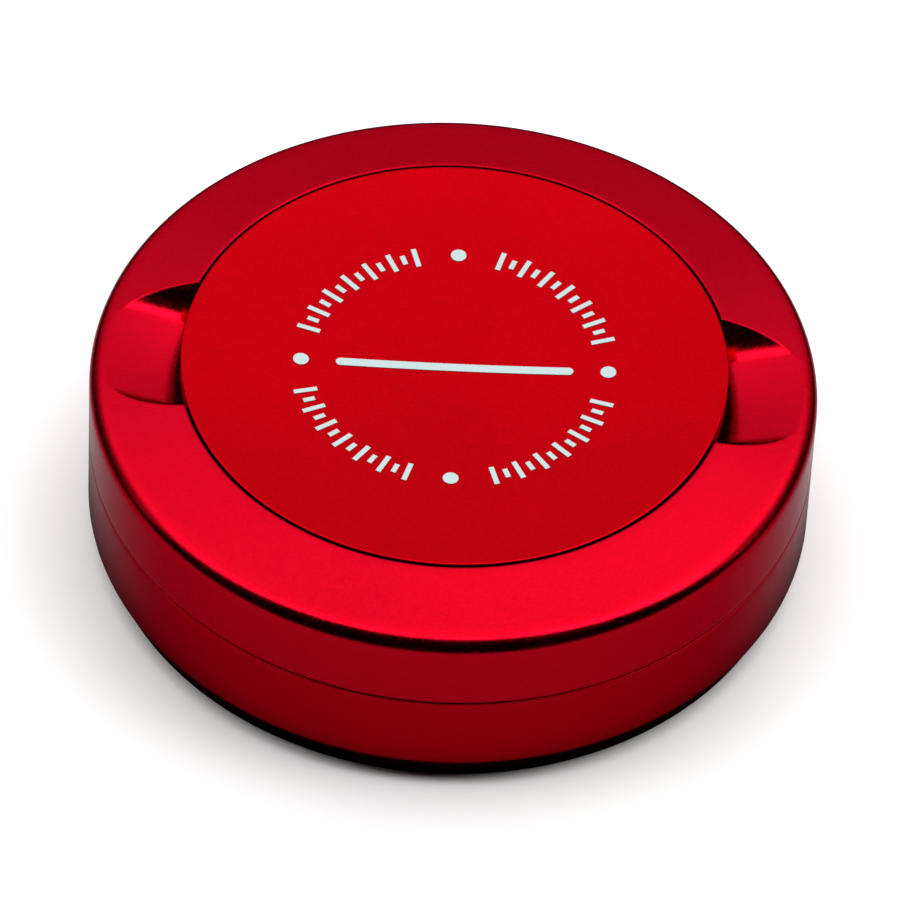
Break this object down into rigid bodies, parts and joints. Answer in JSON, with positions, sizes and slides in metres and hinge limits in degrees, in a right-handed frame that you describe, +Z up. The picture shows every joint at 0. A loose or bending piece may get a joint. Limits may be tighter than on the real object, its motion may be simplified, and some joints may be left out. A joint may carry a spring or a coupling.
{
  "type": "pocket can",
  "caption": "Round turned pocket can with a push-on lid, and a lift-out cover disc over a compartment in the lid, with finger scoops at its edge.",
  "frame": {"origin": "middle of the underside, on the axis of the can", "axes": "+Z up along the axis of the can; the two finger scoops lie on +X and -X"},
  "size_m": [0.07, 0.07, 0.0216],
  "materials": {
    "anodised_base": "fine bead-blasted and anodised red, satin",
    "anodised_lid": "fine bead-blasted and anodised red, satin",
    "anodised_cover": "fine bead-blasted and anodised red, satin",
    "seal_rubber": "smooth black sealing rubber",
    "white_print": "thin matt white print"
  },
  "bodies": {
    "base": {"base_cup": "anodised_base"},
    "lid_ring": {"lid_seal": "seal_rubber"},
    "lid": {"lid_shell": "anodised_lid"},
    "cover_ring": {"cover_seal": "seal_rubber"},
    "cover": {"cover_disc": "anodised_cover", "print_dots": "white_print", "print_bar": "white_print", "print_ticks": "white_print"}
  },
  "joints": [
    {"name": "lid_lift", "type": "slide", "parent": "base", "child": "lid_ring", "axis": [0, 0, 1], "range_m": [0, 0.04]},
    {"name": "lid_turn", "type": "hinge", "parent": "lid_ring", "child": "lid", "pos_m": [0, 0, 0], "axis": [0, 0, 1], "continuous": true},
    {"name": "cover_lift", "type": "slide", "parent": "lid", "child": "cover_ring", "axis": [0, 0, 1], "range_m": [0, 0.025]},
    {"name": "cover_turn", "type": "hinge", "parent": "cover_ring", "child": "cover", "pos_m": [0, 0, 0], "axis": [0, 0, 1], "continuous": true}
  ]
}
